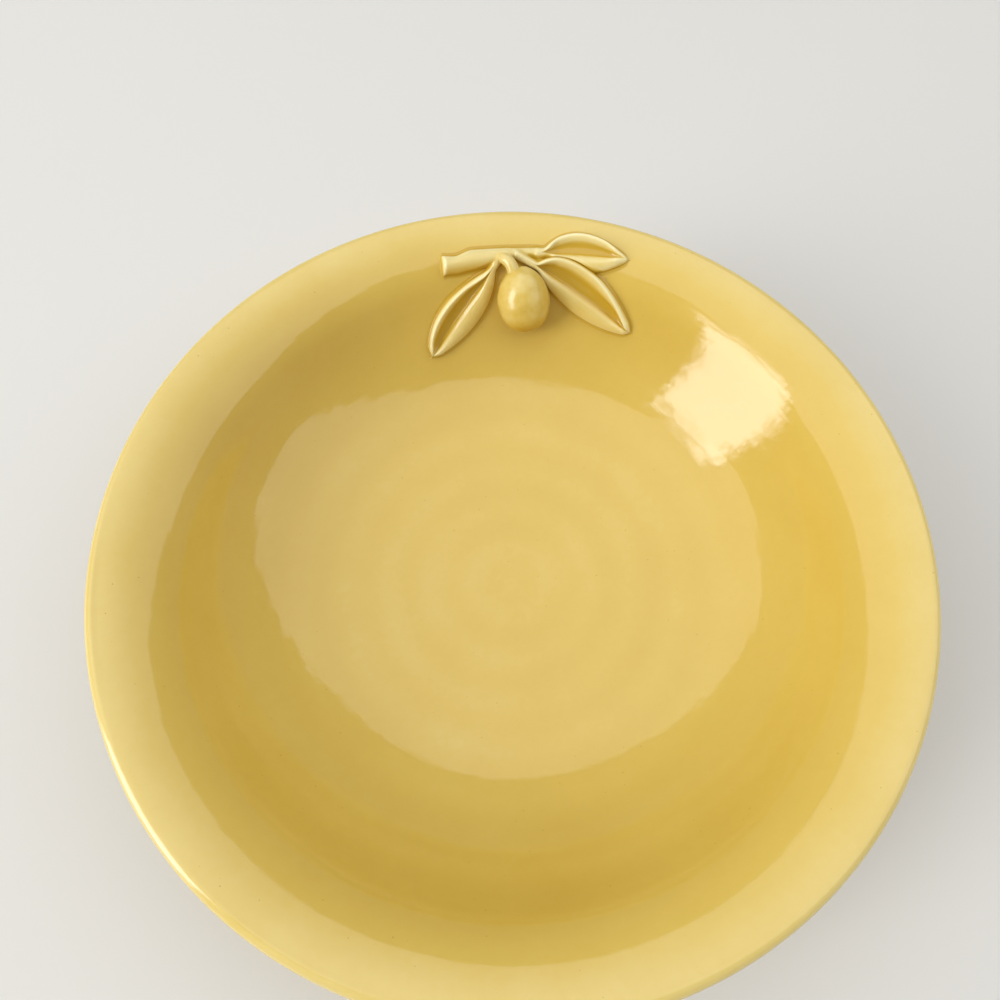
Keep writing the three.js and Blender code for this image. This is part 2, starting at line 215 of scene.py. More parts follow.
# %% [markdown]
# ## The thrown body
#
# A potter's fingers leave shallow rings on the floor of a bowl, and no wall comes off the wheel
# perfectly true. Both are far under a millimetre here, but a glossy glaze shows them, because they
# bend what it mirrors. They could be a bump in the material. They are put in the mesh instead, so
# that the exported shape has them too, and the glaze is told to lie a little thicker in the grooves
# and on the steep wall, and thinner on the rim.

# %% Finger marks and the wobble of the wheel
TURNS = 360
RING_SPACING = 18 * MM
RING_HEIGHT = 0.03 * MM
FIRST_RING = 15 * MM
RINGS_END = 114 * MM
RINGS_FADE = 24 * MM
LINE_SPACING = 4.4 * MM
LINE_HEIGHT = 0.008 * MM
LINE_DRIFT = 2.5
LINES_START = 78 * MM
LINES_END = 122 * MM
LINES_FADE = 14 * MM
WOBBLE_HEIGHT = 0.16 * MM
WOBBLE_SIZE = 62 * MM

turns = np.linspace(0, 2 * np.pi, TURNS, endpoint=False)


def noise_at(points, size):
    """Smooth noise from about -1 to 1 at each of these points, with lumps of this size."""
    values = [noise.noise(Vector(point) / size) for point in points.reshape(-1, 3)]
    return np.array(values).reshape(points.shape[:-1])


def finger_marks(radius):
    """The rings left by the fingers, from -1 in a groove to 1 on a ridge, fading out up the wall."""
    fade_out = np.clip((RINGS_END - radius) / RINGS_FADE, 0, 1)
    fade_in = np.clip(radius / FIRST_RING, 0, 1)
    return np.cos(2 * np.pi * (radius - FIRST_RING) / RING_SPACING) * fade_out * fade_in


def rib_lines(radius, drift):
    """The fine lines that the rib drew round the wall, from -1 to 1. They wander with the drift."""
    window = np.clip(np.minimum(radius - LINES_START, LINES_END - radius) / LINES_FADE, 0, 1)
    return np.cos(2 * np.pi * radius / LINE_SPACING + LINE_DRIFT * drift) * window


def uneven(points):
    """How far the surface stands off its drawn line: marks of fingers and rib, and a slow wobble."""
    radius = np.hypot(points[..., 0], points[..., 1])
    wobble = noise_at(points, WOBBLE_SIZE)
    marks = RING_HEIGHT * finger_marks(radius) + LINE_HEIGHT * rib_lines(radius, wobble)
    return marks + WOBBLE_HEIGHT * wobble


def spun(section):
    """Rings of points: each point of a section, turned about the axis."""
    radius = section[:, :1]
    height = np.repeat(section[:, 1:], TURNS, axis=1)
    return np.stack([radius * np.sin(turns), radius * np.cos(turns), height], axis=-1)


print(f"a ring every {RING_SPACING / MM:.0f} mm, {RING_HEIGHT / MM:.2f} mm high")

# %% How deep the glaze lies
WALL_GLAZE = 0.25
RIM_GLAZE = -0.3
RIM_GLAZE_START = 130 * MM
RIM_GLAZE_END = 146 * MM
RING_GLAZE = 0.045
LIP_GLAZE = -0.45
RUN_GLAZE = 0.3
RUN_SIZE = 14 * MM
RUN_STRETCH = 0.35
FOOT_ROLL = 9 * MM
FOOT_ROLL_GLAZE = 0.7

foot_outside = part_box("foot_ring")[1].x


def ease(value, start, end):
    """0 at the start, 1 at the end, and smooth between them."""
    share = np.clip((value - start) / (end - start), 0, 1)
    return share * share * (3 - 2 * share)


def glaze_on_body(radius, slope):
    """Depth of the glaze inside: below 0 is thin and pale, above 0 is pooled and deep."""
    wall = WALL_GLAZE * (np.sin(slope) / math.sin(wall_slope)) ** 2
    rim = RIM_GLAZE * ease(radius, RIM_GLAZE_START, RIM_GLAZE_END)
    return wall + rim - RING_GLAZE * finger_marks(radius)


def glaze_outside(rings):
    """Depth of the glaze outside: it ran down in streaks and stopped in a roll above the foot."""
    runs = noise_at(rings * [1, 1, RUN_STRETCH], RUN_SIZE)
    radius = np.hypot(rings[..., 0], rings[..., 1])
    roll = 1 - ease(radius, foot_outside, foot_outside + FOOT_ROLL * (1 + runs))
    return RUN_GLAZE * runs + FOOT_ROLL_GLAZE * roll * (radius > foot_outside)


print(f"glaze depth in the middle of the floor: {glaze_on_body(0.0, 0.0):.2f}")
print(f"glaze depth at the top of the wall: {glaze_on_body(wall_top[0], wall_slope):.2f}")

# %% Throw the body
LIP_STEPS = 28
LIP_CREST = math.radians(-45)


def pushed(rings, slopes):
    """A turned surface, pushed in and out by the marks of the fingers and the wobble."""
    lift = uneven(rings)
    lift[rings[:, 0, 1] == 0] = 0
    across, up = np.split(facing(slopes), 2, axis=-1)
    return rings + np.stack([
        lift * across * np.sin(turns),
        lift * across * np.cos(turns),
        lift * up,
    ], axis=-1)


inner_rings = pushed(spun(inner_line), inner_slope)
lip_slopes = np.linspace(RIM_SLOPE, RIM_SLOPE - np.pi, LIP_STEPS, endpoint=False)[1:]
lip_rings = spun(lip_centre + lip_radius * facing(lip_slopes))
outer_line = inner_line - WALL * facing(inner_slope)
outer_line[0, 0] = 0
outer_rings = pushed(spun(outer_line[::-1]), inner_slope[::-1])

inner_glaze = np.repeat(glaze_on_body(inner_line[:, 0], inner_slope)[:, None], TURNS, axis=1)
lip_glaze = LIP_GLAZE * np.cos(lip_slopes - LIP_CREST).clip(0)
lip_glaze = np.repeat(lip_glaze[:, None], TURNS, axis=1)
outer_glaze = glaze_outside(outer_rings)

body_rings = np.vstack([inner_rings, lip_rings, outer_rings])
body_glaze = np.vstack([inner_glaze, lip_glaze, outer_glaze])
thrown_bowl = skin("thrown_bowl", body_rings, body_glaze)
install(thrown_bowl, "bowl_body", "bowl_glaze")

# %% [markdown]
# ## The foot ring
#
# The foot is a ring of clay, turned while the bowl stands upside down on the wheel. Its lower edges
# are softened with a wet finger, and slip fills the corner where it meets the bowl. A torus would
# be too round and a cylinder too hard, so the section is drawn as a potter would: a flat face to
# stand on, two small rounds, and two hollow corners. The face is wiped clean before the firing, or
# the bowl would stick to the kiln shelf, so the glaze depth falls to bare clay there.

# %% Turn the foot
FOOT_WIDTH = 9 * MM
FOOT_EDGE = 1.5 * MM
FOOT_CORNER = 3 * MM
FOOT_SINK = 1 * MM
FOOT_EDGE_STEPS = 10
FOOT_CORNER_STEPS = 12
WIPED_HEIGHT = 0.6 * MM
GLAZED_HEIGHT = 2 * MM

foot_inside = foot_outside - FOOT_WIDTH


def underside(radius):
    """Height of the bowl's outer surface near its foot."""
    return np.interp(radius, outer_line[:, 0], outer_line[:, 1])


def quarter(centre, radius, start, steps):
    """A quarter of a circle, turning anticlockwise from this angle."""
    angles = start + np.linspace(0, np.pi / 2, steps)
    return np.array(centre) + radius * uphill(angles)


def hollow_corner(radius, outward):
    """The hollow round of slip between the foot's side and the bowl, from the foot to the bowl."""
    tops = np.linspace(0, 1, FOOT_CORNER_STEPS)
    out = radius + outward * FOOT_CORNER * (1 - np.cos(tops * np.pi / 2))
    drop = FOOT_CORNER * (1 - np.sin(tops * np.pi / 2))
    return np.stack([out, underside(out) - drop], axis=-1)


outer_corner = hollow_corner(foot_outside, 1)
inner_corner = hollow_corner(foot_inside, -1)
foot_section = np.vstack([
    quarter([foot_inside + FOOT_EDGE, FOOT_EDGE], FOOT_EDGE, np.pi, FOOT_EDGE_STEPS),
    quarter([foot_outside - FOOT_EDGE, FOOT_EDGE], FOOT_EDGE, 1.5 * np.pi, FOOT_EDGE_STEPS),
    outer_corner,
    outer_corner[-1] + [0, FOOT_SINK],
    inner_corner[-1] + [0, FOOT_SINK],
    inner_corner[::-1],
])
foot_rings = spun(foot_section)
foot_depth = ease(foot_rings[..., 2], WIPED_HEIGHT, GLAZED_HEIGHT) - 1
foot = skin("turned_foot_ring", foot_rings, foot_depth, loop=True)
install(foot, "foot_ring", "foot_glaze")

# %% [markdown]
# ## The sprig as a landscape
#
# The twig and the leaves were shaped flat and pressed onto the wall. A flat map suits them: for
# each point of the map, a piece says how high it stands over the wall there. Where two pieces meet,
# their heights are blended by a soft maximum, which rounds the corner just as slip and glaze do.
# Sculpting would work too, but the map keeps each leaf's length, width and direction as plain
# numbers. On the map, "across" runs to the right and "down" towards the floor.

# %% Lay the map on the wall
def wall_at(down):
    """Radius, height and slope of the inner wall, this far down from the top of the rim."""
    columns = (inner_line[:, 0], inner_line[:, 1], inner_slope)
    return [np.interp(down, inner_down[::-1], column[::-1]) for column in columns]


def on_wall(across, down, lift):
    """Places of the map, laid on the inner wall and lifted off it."""
    radius, height, slope = wall_at(down)
    turn = across / radius
    foot = np.stack([radius * np.sin(turn), radius * np.cos(turn), height], axis=-1)
    lift = lift + uneven(foot)
    radius = radius - lift * np.sin(slope)
    height = height + lift * np.cos(slope)
    return np.stack([radius * np.sin(turn), radius * np.cos(turn), height], axis=-1)


print("20 mm down the wall:", [round(float(c) / MM, 1) for c in on_wall(0.0, 20 * MM, 0.0)])

# %% Soft joins
SLIP_ROUND = 1.8 * MM
FALL = 1.0


def soft_max(a, b, soft):
    """The larger of two heights, rounded where they are less than this far apart."""
    near = np.clip(1 - np.abs(a - b) / soft, 0, 1)
    return np.maximum(a, b) + near**2 * soft / 4


def bead(across, half_width, height, slant):
    """The height of a bead. Its flank is round with a slant of 0.5 and straighter with more."""
    out = np.abs(across) / half_width
    inside = height * np.clip(1 - out**2, 0, 1) ** slant
    return np.where(out < 1, inside, -FALL * (out - 1) * half_width)


def along_and_aside(spot, start, heading):
    """Distances along and aside of a line on the map, from its start."""
    ahead = uphill(heading)
    offset = spot - start
    return offset @ ahead, offset @ np.array([-ahead[1], ahead[0]])


print("a corner of slip is", round(SLIP_ROUND / FALL / MM, 1), "mm wide")

# %% [markdown]
# ## The twig
#
# The twig is a roll of clay, pressed flat below, with a straight cut at its thick end. Its upper
# side is a round bead. Its lower side was smoothed down with a finger, so it is straighter and
# spreads a little. A bevelled curve would give the same section on both sides. Here each side has a
# half width and a flank of its own.

# %% The twig's height
TWIG_START = np.array([-30.4, 20.4]) * MM
TWIG_HEADING = math.radians(-4.5)
TWIG_LENGTH = 41 * MM
TWIG_BOW = 1 * MM
TWIG_ABOVE = 3.7 * MM
TWIG_BELOW = 3.8 * MM
TWIG_TAPER = 3.1 * MM
TWIG_SHOULDER = 1.9 * MM
SHOULDER_START = 5 * MM
SHOULDER_END = 13 * MM
TWIG_BELLY = 1.5 * MM
BELLY_END = 7 * MM
TWIG_HEIGHT = 5.2 * MM
TWIG_END_HEIGHT = 2.6 * MM
TWIG_FLARE = 0.6 * MM
TWIG_FLARE_LENGTH = 7 * MM
TWIG_END_FALL = 0.4
SLANT_ABOVE = 0.5
SLANT_BELOW = 0.85
CUT_ROUND = 1.6 * MM
CUT_LOW = 0.6
CUT_FALL = 4.0


def twig_point(share):
    """A place on the twig's middle line, from 0 at its cut end to 1."""
    ahead = uphill(TWIG_HEADING)
    bow = 2 * share * (1 - share) * TWIG_BOW
    return TWIG_START + ahead * TWIG_LENGTH * share + np.array([-ahead[1], ahead[0]]) * bow


def twig_flare(share):
    """The swelling at the cut end."""
    return TWIG_FLARE * np.clip(1 - share * TWIG_LENGTH / TWIG_FLARE_LENGTH, 0, 1) ** 2


def twig_half_widths(share):
    """Half widths above and below the middle line, which swell where slip was smoothed over."""
    run = share * TWIG_LENGTH
    common = twig_flare(share) - TWIG_TAPER * share
    above = TWIG_ABOVE + TWIG_SHOULDER * ease(run, SHOULDER_START, SHOULDER_END)
    below = TWIG_BELOW + TWIG_BELLY * ease(run, 0, BELLY_END)
    return above + common, below + common


def twig_run(spot):
    """Distances along and aside of the twig's middle line, and the share of its length."""
    run, aside = along_and_aside(spot, TWIG_START, TWIG_HEADING)
    share = np.clip(run / TWIG_LENGTH, 0, 1)
    return run, aside - 2 * share * (1 - share) * TWIG_BOW, share


def twig_height(spot):
    """How high the twig stands over the wall."""
    run, aside, share = twig_run(spot)
    top = TWIG_HEIGHT + (TWIG_END_HEIGHT - TWIG_HEIGHT) * share**2 + twig_flare(share)
    cut = np.clip(run / CUT_ROUND, 0, 1)
    top = top * (CUT_LOW + (1 - CUT_LOW) * np.sqrt(cut * (2 - cut)))
    before = CUT_FALL * np.clip(-run, 0, None)
    beyond = TWIG_END_FALL * np.clip(run - TWIG_LENGTH, 0, None)
    above, below = twig_half_widths(share)
    upper = bead(aside, above, top, SLANT_ABOVE)
    lower = bead(aside, below, top, SLANT_BELOW)
    return np.where(aside < 0, upper, lower) - (before + beyond)


print("twig ends at", (twig_point(1.0) / MM).round(1), "mm on the map")


# %% Slip in the corners
@dataclass
class Mound:
    """A low mound of slip on the map."""

    place: np.ndarray
    size: float
    height: float


fork = Mound(np.array([10.5, 19.2]) * MM, 4.5 * MM, 2.6 * MM)
armpit = Mound(np.array([-3.2, 19.4]) * MM, 4.2 * MM, 4.2 * MM)


def slip_height(spot):
    """Slip pressed into the fork of the right-hand leaves and under the foot of the olive's stalk."""
    heights = []
    for mound in (fork, armpit):
        away = np.linalg.norm(spot - mound.place, axis=-1) / mound.size
        heights.append(mound.height * (1 - away**2))
    return np.max(heights, axis=0)


print(f"slip in the fork is {fork.height / MM:.1f} mm high")

# %% [markdown]
# ## The leaves
#
# Each leaf is a lance of clay with a vein pressed down its middle. One half is rolled up into a rim
# like a rope, with a hollow inside it, and the other half is a full cushion. A sheet with a
# Solidify modifier would be equally thick all over. The map lets each half have its own width,
# crest and hollow, and the tip is rubbed round with a finger.

# %% A leaf's outline
@dataclass
class Leaf:
    """A leaf: its place on the twig, its direction, and the form of its rolled and its full half.

    The lead is how far the leaf reaches back from its root, and the stalk is the part before the
    blade. A belly is the share of the blade's length at which that half is widest. The rolled side
    is 1 or -1. The slimness is a power: the smaller it is, the fuller is the blade.
    """

    on_twig: float
    heading: float
    length: float
    lead: float
    stalk: float
    stalk_height: float
    rolled_side: int
    rolled_width: float
    rolled_belly: float
    full_width: float
    full_belly: float
    slimness: float
    rim_height: float

    def root(self):
        """The place on the map where the leaf grows out of the twig."""
        return twig_point(self.on_twig)


left_leaf = Leaf(
    on_twig=0.61,
    heading=math.radians(128.5),
    length=49.6 * MM,
    lead=1.5 * MM,
    stalk=4 * MM,
    stalk_height=4.4 * MM,
    rolled_side=1,
    rolled_width=8.9 * MM,
    rolled_belly=0.60,
    full_width=9.6 * MM,
    full_belly=0.50,
    slimness=0.70,
    rim_height=4.0 * MM,
)
lower_right_leaf = Leaf(
    on_twig=0.78,
    heading=math.radians(23.85),
    length=56.6 * MM,
    lead=6 * MM,
    stalk=9 * MM,
    stalk_height=4.9 * MM,
    rolled_side=-1,
    rolled_width=10.8 * MM,
    rolled_belly=0.42,
    full_width=10.0 * MM,
    full_belly=0.52,
    slimness=0.72,
    rim_height=4.0 * MM,
)
upper_right_leaf = Leaf(
    on_twig=1.0,
    heading=math.radians(-6.2),
    length=39.2 * MM,
    lead=6 * MM,
    stalk=1 * MM,
    stalk_height=3.4 * MM,
    rolled_side=-1,
    rolled_width=8.2 * MM,
    rolled_belly=0.45,
    full_width=7.4 * MM,
    full_belly=0.50,
    slimness=0.95,
    rim_height=3.5 * MM,
)

LEAF_STALK_WIDTH = 4.4 * MM
LEAF_TIP_WIDTH = 3.0 * MM
LEAF_TIP_ROUND = 2.4 * MM
LEAF_TIP_CUT = 1.5 * MM
LEAF_TIP_END = 0.05 * MM
LEAF_SOFT = 0.9 * MM


def leaf_blade(leaf, run, belly):
    """0 at the stalk, 1 at the widest place, and nearly 0 at the tip, whose point is rubbed off."""
    share = np.clip((run - leaf.stalk) / (leaf.length + LEAF_TIP_CUT - leaf.stalk), 0, 1)
    # This power of the share is one half at the belly, where the sine is largest.
    power = math.log(0.5) / math.log(belly)
    return np.sin(np.pi * share**power).clip(0) ** leaf.slimness


def leaf_half_widths(leaf, run):
    """Half widths of the rolled side and of the full side. The tip is rounded off."""
    share = np.clip(run / leaf.length, 0, 1)
    narrowest = (LEAF_STALK_WIDTH + (LEAF_TIP_WIDTH - LEAF_STALK_WIDTH) * share) / 2
    rolled = leaf.rolled_width * leaf_blade(leaf, run, leaf.rolled_belly)
    full = leaf.full_width * leaf_blade(leaf, run, leaf.full_belly)
    into_tip = np.clip(1 - (leaf.length - run) / LEAF_TIP_ROUND, 0, 1)
    tip = np.sqrt(1 - into_tip**2)
    widths = [soft_max(narrowest, half, LEAF_SOFT) * tip for half in (rolled, full)]
    return [np.maximum(half, LEAF_TIP_END) for half in widths]


left_tip = left_leaf.root() + uphill(left_leaf.heading) * left_leaf.length
print("left leaf reaches", (left_tip / MM).round(1), "mm on the map")

# %% A leaf's height
LEAF_FULL_HEIGHT = 3.4 * MM
LEAF_VEIN_HEIGHT = 0.7 * MM
LEAF_RIM_PLACE = 0.81
LEAF_FULL_PLACE = 0.45
ROLLED_HOLLOW = 4.6
FULL_RISE = 0.8
LEAF_SHOULDER = 4.0 * MM
TIP_SINK = 0.6
STALK_FADE_START = 0.4
STALK_FADE_END = 2.2
BLADE_OPEN = 0.75
VEIN_PLACE = 0.02


def leaf_section(out, vein, crest, crest_place, power):
    """From the vein at 0 up to the crest, then round and down to the edge at 1."""
    rise = np.sin(np.pi / 2 * np.clip(out / crest_place, 0, 1)) ** power
    round_off = np.clip((out - crest_place) / (1 - crest_place), 0, 1)
    inner = vein + (crest - vein) * rise
    return np.where(out < crest_place, inner, crest * np.sqrt(1 - round_off**2))


def leaf_height(leaf, spot):
    """How high a leaf stands over the wall."""
    run, aside = along_and_aside(spot, leaf.root(), leaf.heading)
    rolled_half, full_half = leaf_half_widths(leaf, run)
    rolled = aside * leaf.rolled_side > 0
    half = np.where(rolled, rolled_half, full_half)
    out = np.abs(aside) / half
    near_tip = np.clip((rolled_half + full_half) / 2 / LEAF_SHOULDER, 0, 1) ** TIP_SINK
    stalk = 1 - ease(run, STALK_FADE_START * leaf.stalk, STALK_FADE_END * leaf.stalk + LEAF_SHOULDER)
    opened = ease(leaf_blade(leaf, run, leaf.rolled_belly), 0, BLADE_OPEN)

    def height_of(crest, crest_place, power):
        top = crest * near_tip + (leaf.stalk_height - crest * near_tip) * stalk
        vein = top + (LEAF_VEIN_HEIGHT - top) * opened
        return leaf_section(out, vein, top, crest_place * opened + VEIN_PLACE, power)

    inside = np.where(
        rolled,
        height_of(leaf.rim_height, LEAF_RIM_PLACE, ROLLED_HOLLOW),
        height_of(LEAF_FULL_HEIGHT, LEAF_FULL_PLACE, FULL_RISE),
    )
    lead = (leaf.stalk_height + SLIP_ROUND) * (1 - ease(run, -leaf.lead, 0))
    beyond = FALL * np.clip(run - leaf.length, 0, None) + lead
    return np.where(out < 1, inside, -FALL * (out - 1) * half) - beyond


vein_depth = left_leaf.rim_height - LEAF_VEIN_HEIGHT
print(f"the left leaf's vein lies {vein_depth / MM:.1f} mm under its rim")

# %% All the heights together
TUCK = 0.6 * MM


def sprig_heights(spot):
    """Heights of the twig and the leaves, by name. The upper leaf is tucked under the lower one."""
    run, aside = along_and_aside(spot, lower_right_leaf.root(), lower_right_leaf.heading)
    rolled_half, full_half = leaf_half_widths(lower_right_leaf, run)
    inside = np.where(aside < 0, rolled_half, full_half) - np.abs(aside)
    tucked = ease(inside, 0, TUCK) * ease(run, lower_right_leaf.stalk, 2 * lower_right_leaf.stalk)
    return {
        "twig": twig_height(spot),
        "left": leaf_height(left_leaf, spot),
        "lower_right": leaf_height(lower_right_leaf, spot),
        "upper_right": leaf_height(upper_right_leaf, spot) - tucked * upper_right_leaf.rim_height,
    }


def sprig_surface(spot, own=None):
    """Height of the whole sprig.

    With the name of a piece, it is that piece's own surface, which dips under its neighbours.
    """
    heights = sprig_heights(spot)
    surface = soft_max(0, slip_height(spot), SLIP_ROUND)
    for height in heights.values():
        surface = soft_max(surface, height, SLIP_ROUND)
    if own:
        others = np.max([height for name, height in heights.items() if name != own], axis=0)
        surface = surface - np.clip(others - heights[own], 0, None)
    return surface


print(f"the sprig is {sprig_surface(left_leaf.root()) / MM:.1f} mm high where the left leaf grows")

# %% [markdown]
# ## Glaze and painted shade on the sprig
#
# Molten glaze is a thick liquid: it leaves the crests, gathers in the hollows and is held up by
# what stands in its way. Its depth could be painted on by hand, but the paint would stay behind
# when a leaf is moved. The map can tell it: a spot that lies lower than the spots around it is a
# hollow. The same depth also carries painted shade, which is darker in the hollows and creases,
# along the sprig's foot, just uphill of it and on the twig's lower flank.

# %% Where the glaze runs off, where it pools, and where shade is painted
HOLLOW_SIDES = 8
# The line and pool terms darken the sprig's creases and hollows: pooled glaze and painted shade.
LINE_REACH = 1.4 * MM
LINE_SCALE = 1.1 * MM
POOL_AND_SHADE_REACH = 3.2 * MM
POOL_AND_SHADE_SCALE = 0.75 * MM
POOL_THIN = -0.35
POOL_TOP = 0.4 * MM
# Round the sprig's foot the lines and pools are weaker, and stronger just uphill of it: held-up glaze
# and painted shade.
BASE_GLAZE_AND_SHADE_SHARE = 0.25
DAM_GLAZE_AND_SHADE_SHARE = 0.8
DAM_REACH = 1.5 * MM
DAM_LOW = 0.3 * MM
DAM_HIGH = 1.0 * MM
# The twig's lower flank is darker: glaze that gathered there and painted shade.
FLANK_GLAZE_AND_SHADE = 0.7
FLANK_START = 0.1
FLANK_REACH = 0.8 * MM
FLANK_END = 0.6


def hollowness(spot, reach, scale):
    """How hollow the sprig is here: below 0 on a crest, above 0 in a hollow."""
    angles = np.linspace(0, 2 * np.pi, HOLLOW_SIDES, endpoint=False)
    around = [sprig_surface(spot + reach * uphill(angle)) for angle in angles]
    return (np.mean(around, axis=0) - sprig_surface(spot)) / scale


def dammed_and_shaded(spot):
    """1 just uphill of the sprig, where glaze that ran down the wall was held up and shade is painted,
    and 0 elsewhere.
    """
    downhill = sprig_surface(spot + np.array([0, DAM_REACH]))
    return ease(downhill - sprig_surface(spot), DAM_LOW, DAM_HIGH)


def under_twig_glaze_and_shade(spot):
    """1 low on the twig's lower flank, where the glaze gathered as it ran down and shade is painted,
    and 0 elsewhere.
    """
    run, aside, share = twig_run(spot)
    below = twig_half_widths(share)[1]
    on_twig = ease(run, 0, CUT_ROUND) * ease(FLANK_END - share, 0, FLANK_END / 2)
    return ease(aside / below, FLANK_START, 1) * (aside < below + FLANK_REACH) * on_twig


def glaze_and_shade_on_sprig(spot):
    """Depth of the glaze on the sprig, with painted shade in hollows, at its foot and on the twig's
    lower flank. At its foot it goes over into the glaze of the wall.
    """
    radius, _, slope = wall_at(spot[..., 1])
    raised = np.max(list(sprig_heights(spot).values()), axis=0)
    # Darker lines round the sprig's foot, strongest just uphill of it: pooled glaze and painted shade.
    base = BASE_GLAZE_AND_SHADE_SHARE + (DAM_GLAZE_AND_SHADE_SHARE - BASE_GLAZE_AND_SHADE_SHARE) * dammed_and_shaded(spot)
    raised = base + (1 - base) * ease(raised, 0, POOL_TOP)
    # Creases and hollows get deeper colour: pooled glaze and painted shade.
    lines = hollowness(spot, LINE_REACH, LINE_SCALE).clip(-1, 1)
    pools = hollowness(spot, POOL_AND_SHADE_REACH, POOL_AND_SHADE_SCALE).clip(POOL_THIN, 1)
    return glaze_on_body(radius, slope) + (lines + pools) * raised + FLANK_GLAZE_AND_SHADE * under_twig_glaze_and_shade(spot)


print(f"glaze depth in the middle of the twig: {glaze_and_shade_on_sprig(twig_point(0.5)):.2f}")

# %% A strip of relief
SKIRT_SPREAD = 1.2
SKIRT = SKIRT_SPREAD * SLIP_ROUND / FALL
SKIRT_DIP = 0.03 * MM
SKIRT_SINK = 0.2 * MM
SINK = 0.5 * MM
ACROSS_STEPS = 81
SKIRT_STEPS = 9


def strip_of_map(runs, place, half_widths, length):
    """Spots in rows across a middle line, from one skirt of slip to the other."""
    rim = np.sin(np.linspace(-np.pi / 2, np.pi / 2, ACROSS_STEPS))
    skirt = np.linspace(0, SKIRT, SKIRT_STEPS)[1:]
    rows = []
    for run in runs:
        above, below = half_widths(run)
        inside = np.where(rim < 0, rim * above, rim * below)
        row = np.concatenate([-above - skirt[::-1], inside, below + skirt])
        past = np.clip(max(run - length, runs[0] + SKIRT - run) / SKIRT, 0, 1)
        rows.append(place(run, row * math.sqrt(1 - past**2)))
    return np.array(rows)


def there_and_back(top, base):
    """Rows that run across the top and back along the base."""
    return np.concatenate([top, base[:, -2:0:-1]], axis=1)


def relief(name, own, spot):
    """A piece of the sprig over these spots, with a base that is sunk into the wall."""
    lift = sprig_surface(spot, own) - SKIRT_DIP
    lift[:, [0, -1]] -= SKIRT_SINK
    lift[[0, -1], :] -= SKIRT_SINK
    top = on_wall(spot[..., 0], spot[..., 1], lift)
    base = on_wall(spot[..., 0], spot[..., 1], np.minimum(lift, 0) - SINK)
    base[[0, -1]] = top[[0, -1]]
    depth = glaze_and_shade_on_sprig(spot)
    return skin(name, there_and_back(top, base), there_and_back(depth, depth))


print(f"skirts of slip are {SKIRT / MM:.1f} mm wide")

# %% Press the leaves onto the wall
LEAF_ROWS = 140


def press_leaf(leaf, own, node):
    """Make one leaf and put it in the place of its CAD node."""
    ahead = uphill(leaf.heading)
    side = np.array([-ahead[1], ahead[0]])

    def place(run, row):
        return leaf.root() + ahead * run + row[:, None] * side

    def half_widths(run):
        rolled, full = leaf_half_widths(leaf, run)
        return (full, rolled) if leaf.rolled_side > 0 else (rolled, full)

    runs = np.linspace(-leaf.lead, leaf.length + SKIRT, LEAF_ROWS)
    spot = strip_of_map(runs, place, half_widths, leaf.length)
    install(relief(f"olive_{node}", own, spot), node, "relief_glaze")


press_leaf(left_leaf, "left", "leaf_left")
press_leaf(lower_right_leaf, "lower_right", "leaf_lower_right")
press_leaf(upper_right_leaf, "upper_right", "leaf_upper_right")

# %% Press the twig
CUT_ROWS = 40
TWIG_ROWS = 90
TWIG_RUN_OUT = 5 * MM


def across_twig(run, row):
    """Spots in a row across the twig, also before its cut and past its thin end."""
    ahead = uphill(TWIG_HEADING)
    share = np.clip(run / TWIG_LENGTH, 0, 1)
    side = np.array([-ahead[1], ahead[0]])
    return twig_point(share) + ahead * (run - share * TWIG_LENGTH) + row[:, None] * side


def widths_along_twig(run):
    """Half widths of the twig this far from its cut."""
    return twig_half_widths(np.clip(run / TWIG_LENGTH, 0, 1))


twig_reach = TWIG_LENGTH + TWIG_RUN_OUT
twig_runs = np.concatenate([
    np.linspace(-SKIRT, CUT_ROUND, CUT_ROWS, endpoint=False),
    np.linspace(CUT_ROUND, twig_reach, TWIG_ROWS),
])
twig_spots = strip_of_map(twig_runs, across_twig, widths_along_twig, twig_reach - SKIRT)
install(relief("olive_twig", "twig", twig_spots), "twig", "relief_glaze")

# %% [markdown]
# ## The olive and its stalk
#
# The olive stands too far off the wall for the map, so it is a body of its own: a ball of clay,
# longer than wide and a little uneven from the hand, on a short stalk that bends over from the
# twig. A stretched sphere would be too perfect to look handmade, so its rings are shaped one by
# one. The stalk is a tube along a curve with three control points: its foot on the twig, its bend
# and its end in the olive.

# %% Where the olive lies
OLIVE_DIAMETER = 22.6 * MM
OLIVE_LENGTH = 28 * MM
OLIVE_FROM_STALK = np.array([10.0, 16.2]) * MM
OLIVE_LIFT = 6 * MM
OLIVE_LEAN = math.radians(10)
STALK_ON_TWIG = 0.62

stalk_root = twig_point(STALK_ON_TWIG)
olive_spot = stalk_root + OLIVE_FROM_STALK
olive_radius, _, olive_slope = wall_at(olive_spot[1])
olive_middle = on_wall(olive_spot[0], olive_spot[1], OLIVE_LIFT)
olive_place = (
    Matrix.Translation(olive_middle)
    @ Matrix.Rotation(-olive_spot[0] / float(olive_radius), 4, "Z")
    @ Matrix.Rotation(float(olive_slope), 4, "X")
    @ Matrix.Rotation(OLIVE_LEAN, 4, "Z")
)
print("olive's middle:", (olive_middle / MM).round(1), "mm")


def as_olive_lies(points):
    """Points made upright on +Y, set on the wall as the olive lies there."""
    turn = np.array(olive_place.to_3x3())
    return points @ turn.T + np.array(olive_place.translation)


# %% Roll the olive
OLIVE_TURNS = 96
OLIVE_RISES = 72
OLIVE_HEAVY = 0.035
OLIVE_UNEVEN = 0.35 * MM
OLIVE_UNEVEN_SIZE = 8 * MM
OLIVE_SMOOTHNESS = 1.0
OLIVE_FINER = 2.5
OLIVE_OCTAVES = 2

